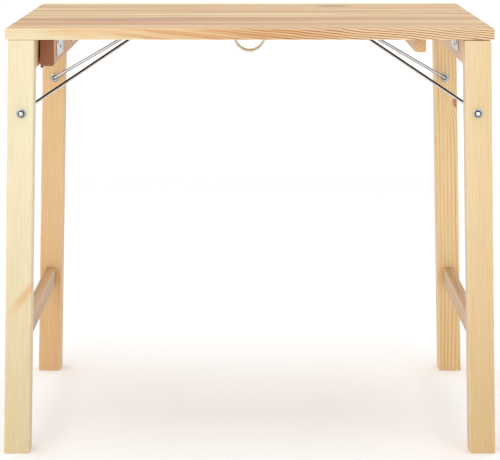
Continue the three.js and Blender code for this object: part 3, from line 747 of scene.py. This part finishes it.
stretcher_v = (UNDER - STRETCHER_LOW - STRETCHER_DEEP) / math.cos(SPLAY)
STRETCHER = ((LEG - STRETCHER_THICK) / 2, (LEG + STRETCHER_THICK) / 2,
             stretcher_v, stretcher_v + STRETCHER_DEEP)
for key, side in SIDES.items():
    body = f"{key}_leg_frame"
    pivot = frame_point(side, STAY_U, STAY_V, 0)
    for where, end in ENDS.items():
        y0, y1 = sorted((end * LEG_Y_IN, end * LEG_Y_OUT))
        shape = block((0, y0, 0), (LEG, y1, UNDER - LEG_GAP[key]), LEG_ROUND,
                      lambda u, y, z: leg_point(side, u, y, z), segments=4)
        wood = pine(f"pine_{key}_{where}_leg", frame_point(side, 0, 0, end * LEG_Y_OUT), down_leg(side),
                    (side, 0, 0), painted_shade_from=0.15, **LEG_LOOKS[key, where])
        leg = put(f"{key}_{where}_leg_wood", shape, body, wood, "pine", [f"{key}_{where}_leg"])
        bore = lathe([(STAY_HOLE_R, y0 - CUT_PAST), (STAY_HOLE_R, y1 + CUT_PAST)], (pivot.x, 0, pivot.z),
                     (0, 1, 0), 24)
        cut(leg, [bore, mortise(side, end, *RAIL[key]), mortise(side, end, *STRETCHER)])
        weigh_normals(leg)
    wood = pine(f"pine_{key}_rail", frame_point(side, 0, 0, 0), (0, 1, 0), (side, 0, 0), **RAIL_LOOK)
    put(f"{key}_upper_rail_wood", tenoned_rail(side, *RAIL[key], RAIL_ROUND), body, wood, "pine",
        [f"{key}_upper_rail"], weighted=True)
    wood = pine(f"pine_{key}_stretcher", frame_point(side, 0, stretcher_v, 0), (0, 1, 0), (side, 0, 0),
                **STRETCHER_LOOK)
    put(f"{key}_lower_stretcher_wood", tenoned_rail(side, *STRETCHER, STRETCHER_ROUND), body, wood, "pine",
        [f"{key}_lower_stretcher"], weighted=True)

shape = block(TOP_LO, TOP_HI, TOP_ROUND, straight)
put("tabletop_panel", shape, "top", TOP_FINISH, "top_pine", ["tabletop"], weighted=True)

# sunk is how far up the screws sit; rounding goes upper left, lower left, lower right, upper right
BATTENS = {
    "spacer": dict(
        slot="brown_pine", sunk=14 * MM, rounding=(0.6 * MM, 1.0 * MM, 3.5 * MM, 0.6 * MM),
        look=dict(
            early=srgb(232, 184, 140), late=srgb(150, 84, 46), blush=srgb(224, 178, 136), pith=(0.004, 0.13),
            # end_tint here is partly the end grain's own darker tone and partly painted shade on the batten's
            # front end
            contrast=0.95, spacing=3.4 * MM, end_tint=(0.44, 0.28, 0.19, 1))),
    "cleat": dict(
        slot="pine", sunk=5 * MM, rounding=(0.6 * MM, 1.0 * MM, 1.0 * MM, 0.6 * MM),
        look=dict(
            early=srgb(254, 234, 194), late=srgb(166, 106, 58), blush=srgb(236, 202, 154), pith=(0.02, -0.05),
            contrast=1.2, spacing=3.4 * MM, end_tint=(1.05, 1.0, 0.93, 1))),
}
for name, batten in BATTENS.items():
    lo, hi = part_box(f"{name}_batten")
    outline = rounded_outline([(lo.x, hi.z), (lo.x, lo.z), (hi.x, lo.z), (hi.x, hi.z)], batten["rounding"])
    shape = rounded_prism(outline, lo.y, hi.y, BATTEN_END_ROUND)
    wood = pine(f"pine_{name}", (lo.x, 0, lo.z), (0, 1, 0), (1, 0, 0), **batten["look"])
    piece = put(f"{name}_batten_wood", shape, "top", wood, batten["slot"], [f"{name}_batten"])
    middle = (lo.x + hi.x) / 2
    sunk = lo.z + batten["sunk"]
    for screw in range(3):
        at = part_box(f"{name}_screw_{screw + 1}")
        y = (at[0].y + at[1].y) / 2
        bore = lathe([(SUNK_R, lo.z - CUT_PAST), (SUNK_R, sunk), (SHANK_BORE_R, sunk),
                      (SHANK_BORE_R, hi.z + CUT_PAST)], (middle, y, 0), (0, 0, 1), 24)
        cut(piece, [bore])
    weigh_normals(piece)

# ---- wire stays, their caps and washers; the profiles are (radius, height) ----
DOME = [(0.0, 0.0), (CAP_R - 0.4 * MM, 0.0), (CAP_R, 0.4 * MM), (CAP_R, 2.2 * MM)] + [
    (CAP_R * math.cos(turn), 2.2 * MM + 3.3 * MM * math.sin(turn))
    for turn in (math.pi / 2 * i / 9 for i in range(1, 10))]
WASHER = [(3.4 * MM, 0.15 * MM), (3.55 * MM, 0), (7.8 * MM, 0), (8 * MM, 0.2 * MM), (8 * MM, 1.0 * MM),
          (7.8 * MM, 1.2 * MM), (3.55 * MM, 1.2 * MM), (3.4 * MM, 1.05 * MM)]


def mark_rim(shape, axis, radius):
    """Writes the edge attribute of a cap on an axis along Y: 1 on its rim, where the dark reflection is
    painted, 0 in its middle.
    """
    layer = shape.verts.layers.float["edge"]
    for vert in shape.verts:
        away = math.hypot(vert.co.x - axis.x, vert.co.z - axis.z) / radius
        vert[layer] = min(max((away - 0.45) / 0.25, 0.0), 1.0)


for key, side in SIDES.items():
    pivot = frame_point(side, STAY_U, STAY_V, 0)
    apex_x, apex_z = side * APEX_X, UNDER - APEX_DROP
    bend_y = LEG_Y_IN - STAY_BEND_IN
    axle_end = LEG_Y_OUT + AXLE_PROUD
    corners = [(pivot.x, -axle_end, pivot.z), (pivot.x, -bend_y, pivot.z), (apex_x, -APEX_HALF, apex_z),
               (apex_x, APEX_HALF, apex_z), (pivot.x, bend_y, pivot.z), (pivot.x, axle_end, pivot.z)]
    wire = tube(fillet(corners, STAY_BEND_R, 8), STAY_R, 20)
    put(f"{key}_stay_rod", wire, f"{key}_stay", CHROME, "chrome_wire", [f"{key}_stay_wire"])
    for where, end in ENDS.items():
        out = (0, end, 0)
        cap = lathe(DOME, (pivot.x, end * (LEG_Y_OUT + CAP_PROUD), pivot.z), out, 32)
        mark_rim(cap, Vector((pivot.x, 0, pivot.z)), CAP_R)
        put(f"{key}_stay_{where}_dome", cap, f"{key}_stay", CAP_STEEL, "chrome_wire",
            [f"{key}_stay_{where}_cap"])
        for label, face, way in (("outer", end * LEG_Y_OUT, end), ("inner", end * LEG_Y_IN, -end)):
            ring = lathe(WASHER, (pivot.x, face + way * WASHER_GAP, pivot.z), (0, way, 0), 40, closed=True)
            put(f"{key}_{where}_{label}_washer_ring", ring, f"{key}_leg_frame", WASHER_STEEL, "zinc_steel",
                [f"{key}_{where}_{label}_washer"])

# ---- pull strap and springs ----
def bezier(a, b, c, d, steps):
    a, b, c, d = (Vector(point) for point in (a, b, c, d))
    return [a * (1 - t) ** 3 + b * 3 * t * (1 - t) ** 2 + c * 3 * t * t * (1 - t) + d * t ** 3
            for t in (i / steps for i in range(steps + 1))]


def strap_path():
    """Middle line of the tape in X and Z, from one tab through the loop to the other tab."""
    top = TAB_TOP - TAPE_THICK / 2
    low = UNDER - STRAP_LOW + STRAP_THICK / 2
    pull = (low - top / 4) / 0.75
    half = STRAP_HALF - STRAP_THICK / 2
    steps = 48
    loop = bezier((-half, top), (-half - 2 * MM, pull), (half + 2 * MM, pull), (half, top), steps)
    tab = [Vector((-STRAP_TAB + (STRAP_TAB - half - 3 * MM) * i / 6, top)) for i in range(7)]
    curl = bezier(tab[-1], tab[-1] + Vector((2.2 * MM, 0)), loop[1] + Vector((0, 3 * MM)), loop[2], 5)[1:-1]
    return tab + curl + loop[2:steps] + [Vector((-p.x, p.y)) for p in reversed(tab + curl)]


def strap():
    """The tape, swept along its path with a section of (across, through) as shares of its half sizes."""
    path = strap_path()
    section = [(-1, -0.5), (-0.97, -0.9), (-0.9, -1), (0.9, -1), (0.97, -0.9), (1, -0.5),
               (1, 0.5), (0.97, 0.9), (0.9, 1), (-0.9, 1), (-0.97, 0.9), (-1, 0.5)]
    shape = bmesh.new()
    layer = shape.verts.layers.float.new("edge")
    uv = shape.loops.layers.uv.new("tape")
    run = [0.0]
    for before, after in zip(path, path[1:]):
        run.append(run[-1] + (after - before).length)
    rings = []
    for i, point in enumerate(path):
        ahead = (path[min(i + 1, len(path) - 1)] - path[max(i - 1, 0)]).normalized()
        normal = Vector((-ahead.y, ahead.x))
        ring = []
        for across, thick in section:
            at = point + normal * (thick * TAPE_THICK / 2)
            vert = shape.verts.new((at.x, across * STRAP_WIDE / 2, at.y))
            vert[layer] = 0.0
            ring.append(vert)
        rings.append(ring)
    count = len(section)
    for i in range(len(rings) - 1):
        for k in range(count):
            n = (k + 1) % count
            face = shape.faces.new((rings[i][k], rings[i][n], rings[i + 1][n], rings[i + 1][k]))
            places = ((run[i], section[k][0]), (run[i], section[n][0]), (run[i + 1], section[n][0]),
                      (run[i + 1], section[k][0]))
            for loop, (along, across) in zip(face.loops, places):
                loop[uv].uv = (along, across * STRAP_WIDE / 2)
    shape.faces.new(rings[0][::-1])
    shape.faces.new(rings[-1])
    return shape


tape = put("pull_strap_tape", strap(), "lock_bar", TAPE, "webbing", ["pull_strap"])
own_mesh(tape)

for key, side in SIDES.items():
    lo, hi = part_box(f"{key}_lock_spring")
    centre = (lo.x + hi.x) / 2
    turns, steps, flat_share = 5, 24, 0.12
    low, high = lo.z + COIL_WIRE_R, hi.z - COIL_WIRE_R
    coil = []
    for i in range(turns * steps + 1):
        share = i / (turns * steps)
        lift = min(max((share - flat_share) / (1 - 2 * flat_share), 0), 1)
        angle = 2 * math.pi * i / steps
        coil.append((centre + COIL_R * math.cos(angle), COIL_R * math.sin(angle), low + (high - low) * lift))
    spring = put(f"{key}_spring_coil", tube(coil, COIL_WIRE_R, 8), "top", DARK_STEEL, "dark_steel",
                 [f"{key}_lock_spring"])
    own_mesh(spring)

# ---- hinges and angle plates ----
HEAD = [(0.0, -0.5 * MM), (3.4 * MM, -0.5 * MM), (3.4 * MM, 0.05 * MM), (3.2 * MM, 0.25 * MM),
        (2.6 * MM, 0.45 * MM), (1.6 * MM, 0.6 * MM), (0.0, 0.65 * MM)]


def cross_prism(at, out, turn, reach=2.1 * MM, half=0.42 * MM, depth=0.35 * MM):
    """Plus-shaped cutter for a screw's recess, from above the head down to depth under its crown."""
    out = Vector(out).normalized()
    side = out.orthogonal().normalized()
    side, other = (side * math.cos(turn) + out.cross(side) * math.sin(turn),
                   out.cross(side) * math.cos(turn) - side * math.sin(turn))
    plus = [(half, half), (half, reach), (-half, reach), (-half, half), (-reach, half), (-reach, -half),
            (-half, -half), (-half, -reach), (half, -reach), (half, -half), (reach, -half), (reach, half)]
    crown = HEAD[-1][1]
    return rings_to_shape([[Vector(at) + out * level + side * a + other * b for a, b in plus]
                           for level in (crown - depth, 1.5 * MM)])


def screw_heads(name, seats, out, body, stands_for):
    """Cross-recessed heads seated at points on a plate."""
    heads, recesses = bmesh.new(), bmesh.new()
    heads.verts.layers.float.new("edge")
    for i, seat in enumerate(seats):
        add_shape(heads, lathe(HEAD, seat, out, 28))
        add_shape(recesses, cross_prism(seat, out, 0.4 + 1.1 * i))
    piece = put(name, heads, body, SCREW_STEEL_PAINTED_SHADE, "zinc_steel", stands_for, smooth=False)
    cut(piece, [recesses])


def knuckle(axis_x, axis_z, y0, y1):
    """Ring of a hinge about its pin, with eased outer edges."""
    ease = 0.3 * MM
    profile = [(BORE_R, y0), (KNUCKLE_R - ease, y0), (KNUCKLE_R, y0 + ease), (KNUCKLE_R, y1 - ease),
               (KNUCKLE_R - ease, y1), (BORE_R, y1)]
    return lathe(profile, (axis_x, 0, axis_z), (0, 1, 0), 28, closed=True)


def across_leaf(reach, middle):
    """The three staggered screws of a plate: (y, distance across)."""
    rows = ((-1, 0.32), (0, 0.68), (1, 0.32))
    return [(middle + way * SCREW_PITCH, share * reach) for way, share in rows]


def plate(name, blocks, place, rings, body, screws):
    """Steel plate of rounded blocks and knuckle rings. screws lists (seats, out) for each of its faces."""
    shape = bmesh.new()
    shape.verts.layers.float.new("edge")
    for lo, hi in blocks:
        add_shape(shape, block(lo, hi, PLATE_ROUND, place, segments=2))
    for ring in rings:
        add_shape(shape, ring)
    put(f"{name}_steel", shape, body, ZINC, "zinc_steel", [name], weighted=True)
    for i, (seats, out) in enumerate(screws):
        screw_heads(f"{name}_screws_{i + 1}", seats, out, body, [name])


for key, side in SIDES.items():
    axis_x, axis_z = HINGE_AXIS[key]
    third = LEAF_LONG / 3
    for where, end in ENDS.items():
        label = f"{key}_{where}_hinge"
        middle = end * HINGE_Y
        y0, y1 = middle - LEAF_LONG / 2, middle + LEAF_LONG / 2
        outer_spans = [(y0, middle - third / 2), (middle + third / 2, y1)]
        inner_span = (middle - third / 2 + KNUCKLE_GAP, middle + third / 2 - KNUCKLE_GAP)

        # leaf on the top or on the spacer
        if side > 0:
            high = UNDER
            far, near = axis_x - FIXED_REACH[key], axis_x - KNUCKLE_R - KNUCKLE_GAP
            first, tongue = far, (near - KNUCKLE_OVERLAP, axis_x)
        else:
            high = UNDER - SPACER_DEEP - FIT
            near, far = axis_x + KNUCKLE_R + KNUCKLE_GAP, axis_x + FIXED_REACH[key]
            first, tongue = near, (axis_x, near + KNUCKLE_OVERLAP)
        low = high - LEAF_THICK
        seats = [(first + SCREW_EDGE + at, y, low) for y, at in across_leaf(FIXED_SCREWS[key], middle)]
        blocks = [((min(near, far), y0, low), (max(near, far), y1, high))]
        blocks += [((tongue[0], a, low), (tongue[1], b, high)) for a, b in outer_spans]
        rings = [knuckle(axis_x, axis_z, a, b) for a, b in outer_spans]
        plate(f"{label}_fixed_leaf", blocks, straight, rings, "top", [(seats, (0, 0, -1))])

        # leaf on the rail's inner face
        axis_v = (UNDER - axis_z) * math.cos(SPLAY) + (side * axis_x - LEG_INNER) * math.sin(SPLAY)
        near = axis_v + side * (KNUCKLE_R + KNUCKLE_GAP)
        start = axis_v + side * (0 if side > 0 else BORE_R + FIT)
        far = axis_v + side * MOVING_REACH
        u1, u0 = -FIT, -FIT - LEAF_THICK
        tip = near + side * KNUCKLE_OVERLAP
        blocks = [((u0, y0, min(near, far)), (u1, y1, max(near, far))),
                  ((u0, inner_span[0], min(start, tip)), (u1, inner_span[1], max(start, tip)))]
        seats = [frame_point(side, u0, near + side * (SCREW_EDGE + at), y)
                 for y, at in across_leaf(MOVING_SCREWS, middle)]
        inward = (-side * math.cos(SPLAY), 0, -math.sin(SPLAY))
        plate(f"{label}_moving_leaf", blocks, lambda u, y, v: frame_point(side, u, v, y),
              [knuckle(axis_x, axis_z, *inner_span)], f"{key}_leg_frame", [(seats, inward)])

        reach = LEAF_LONG / 2 + PIN_PROUD
        pin = lathe([(0.0, -reach), (PIN_R - PIN_CHAMFER, -reach), (PIN_R, -reach + PIN_CHAMFER),
                     (PIN_R, reach - PIN_CHAMFER), (PIN_R - PIN_CHAMFER, reach), (0.0, reach)],
                    (axis_x, middle, axis_z), (0, 1, 0), 20)
        put(f"{label}_pin_rod", pin, "top", DARK_STEEL, "dark_steel", [f"{label}_pin"], weighted=True)

for where, end in ENDS.items():
    middle = end * HINGE_Y
    y0, y1 = middle - LEAF_LONG / 2, middle + LEAF_LONG / 2
    face = SPACER_INNER_X + FIT
    blocks = [((face, y0, UNDER - PLATE_DROP), (face + LEAF_THICK, y1, UNDER)),
              ((face, y0, UNDER - LEAF_THICK), (face + PLATE_WIDE, y1, UNDER))]
    beside = [(face + LEAF_THICK, y, UNDER - PLATE_SCREWS_FROM - at)
              for y, at in across_leaf(PLATE_SCREWS, middle)]
    below = [(face + 0.68 * PLATE_WIDE, middle + way * SCREW_PITCH, UNDER - LEAF_THICK) for way in (-1, 1)]
    screws = [(beside, (1, 0, 0)), (below, (0, 0, -1))]
    plate(f"left_{where}_angle_plate", blocks, straight, [], "top", screws)

# ---- frame pieces that keep their own shape ----
KEPT = {"_bracket": ZINC, "lock_bar": ZINC, "_rivet_plate": ZINC, "_shoulder_screw": ZINC,
        "spacer_screw_": SCREW_STEEL_PAINTED_SHADE, "cleat_screw_": SCREW_STEEL_PAINTED_SHADE}
for name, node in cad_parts.items():
    for part, finish in KEPT.items():
        if part in name:
            node.data.materials.clear()
            node.data.materials.append(finish)
            softened = node.modifiers.new("worn edges", "BEVEL")
            softened.width = 0.25 * MM
            softened.segments = 2
            softened.limit_method = "ANGLE"
            softened.angle_limit = math.radians(50)
            weigh_normals(node)

# ---- floor, light and camera ----
def studio():
    """White floor, a pale world that dims overhead and towards +X, and three soft lamps."""
    floor = bmesh.new()
    bmesh.ops.create_grid(floor, x_segments=1, y_segments=1, size=2.6)
    mesh = bpy.data.meshes.new("floor")
    floor.to_mesh(mesh)
    floor.free()
    plain = Shader("floor_white", Base_Color=(0.96, 0.96, 0.96, 1), Roughness=0.9, Specular_IOR_Level=0.1,
                   Emission_Color=(1, 1, 1, 1), Emission_Strength=0.1)
    mesh.materials.append(plain.material)
    piece = bpy.data.objects.new("floor", mesh)
    bpy.context.scene.collection.objects.link(piece)

    world = bpy.data.worlds.new("studio")
    world.use_nodes = True
    nodes, links = world.node_tree.nodes, world.node_tree.links
    height = nodes.new("ShaderNodeSeparateXYZ")
    links.new(nodes.new("ShaderNodeTexCoord").outputs["Generated"], height.inputs[0])
    fade = nodes.new("ShaderNodeValToRGB")
    fade.color_ramp.elements[0].position = 0.45
    fade.color_ramp.elements[0].color = (1, 1, 1, 1)
    fade.color_ramp.elements[1].position = 0.9
    fade.color_ramp.elements[1].color = (0.5, 0.5, 0.51, 1)
    links.new(height.outputs["Z"], fade.inputs[0])
    flank = nodes.new("ShaderNodeMapRange")
    for socket, value in {"From Min": 0.25, "From Max": 1.0, "To Min": 1.0, "To Max": 0.55}.items():
        flank.inputs[socket].default_value = value
    links.new(height.outputs["X"], flank.inputs["Value"])
    shade = nodes.new("ShaderNodeVectorMath")
    shade.operation = "SCALE"
    links.new(fade.outputs[0], shade.inputs[0])
    links.new(flank.outputs[0], shade.inputs["Scale"])
    links.new(shade.outputs[0], nodes["Background"].inputs["Color"])
    nodes["Background"].inputs["Strength"].default_value = 1.06
    bpy.context.scene.world = world

    for name, at, size, power in (("key", (-1.4, -3.4, 1.9), 1.6, 22), ("fill", (1.9, -3.0, 1.3), 1.8, 9),
                                  ("over", (0, 0.2, 5), 4, 80)):
        light = bpy.data.lights.new(name, "AREA")
        light.size = size
        light.energy = power
        lamp = bpy.data.objects.new(name, light)
        lamp.location = at
        lamp.rotation_euler = (Vector((0, 0, 0.45)) - Vector(at)).to_track_quat("-Z", "Y").to_euler()
        bpy.context.scene.collection.objects.link(lamp)


def camera():
    """Camera fitted to the photograph's outlines."""
    pitch_down = 0.17892
    data = bpy.data.cameras.new("camera")
    data.sensor_width = 36
    data.lens = 140.72
    data.shift_y = -0.02
    data.clip_end = 100
    piece = bpy.data.objects.new("camera", data)
    piece.location = (0.0007, -3.492, 0.9804)
    piece.rotation_euler = (math.pi / 2 - pitch_down, 0, 0)
    bpy.context.scene.collection.objects.link(piece)
    bpy.context.scene.camera = piece


studio()
camera()
bpy.context.scene.view_settings.view_transform = "Standard"
